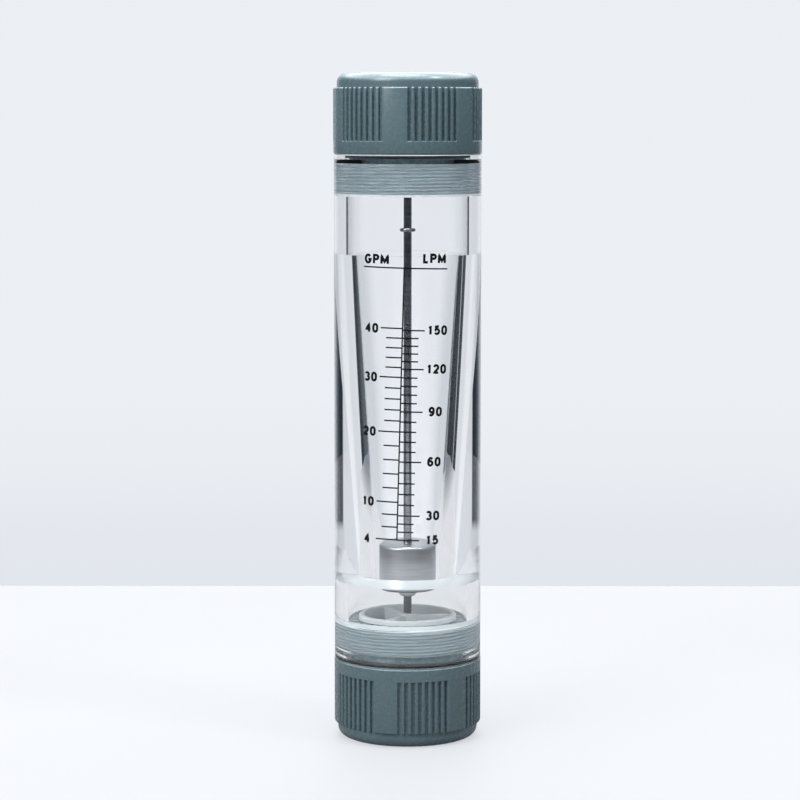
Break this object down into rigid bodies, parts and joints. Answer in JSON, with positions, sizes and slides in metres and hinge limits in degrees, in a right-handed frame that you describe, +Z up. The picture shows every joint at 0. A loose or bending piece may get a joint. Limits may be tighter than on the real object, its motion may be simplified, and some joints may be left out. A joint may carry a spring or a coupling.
{
  "type": "rotameter",
  "caption": "Inline rotameter: clear tapered tube with a printed flow scale, steel float on a guide rod, and a grooved pipe-thread fitting at each end.",
  "frame": {"origin": "centre of the lower fitting's end face, on the tube axis", "axes": "+Z up the tube in the direction of flow; the printed scale faces -Y; +X to the right of it"},
  "size_m": [0.0702, 0.0702, 0.3166],
  "materials": {
    "clear_acrylic": "polished clear acrylic",
    "grey_plastic": "moulded satin blue-grey plastic",
    "black_rubber": "satin",
    "white_plastic": "moulded off-white plastic",
    "stainless_steel": "turned stainless steel",
    "black_ink": "screen-printed ink"
  },
  "bodies": {
    "meter_body": {"tube_body": "clear_acrylic", "lower_fitting": "grey_plastic", "upper_fitting": "grey_plastic", "lower_seal_ring": "black_rubber", "upper_seal_ring": "black_rubber", "lower_rod_support": "white_plastic", "upper_rod_support": "white_plastic", "guide_rod": "stainless_steel", "lower_stop_nut": "stainless_steel", "upper_stop_ring": "stainless_steel", "scale_marks": "black_ink"},
    "float_body": {"float": "stainless_steel"}
  },
  "joints": [
    {"name": "float_slide", "type": "slide", "parent": "meter_body", "child": "float_body", "axis": [0, 0, 1], "range_m": [0, 0.1484]}
  ]
}
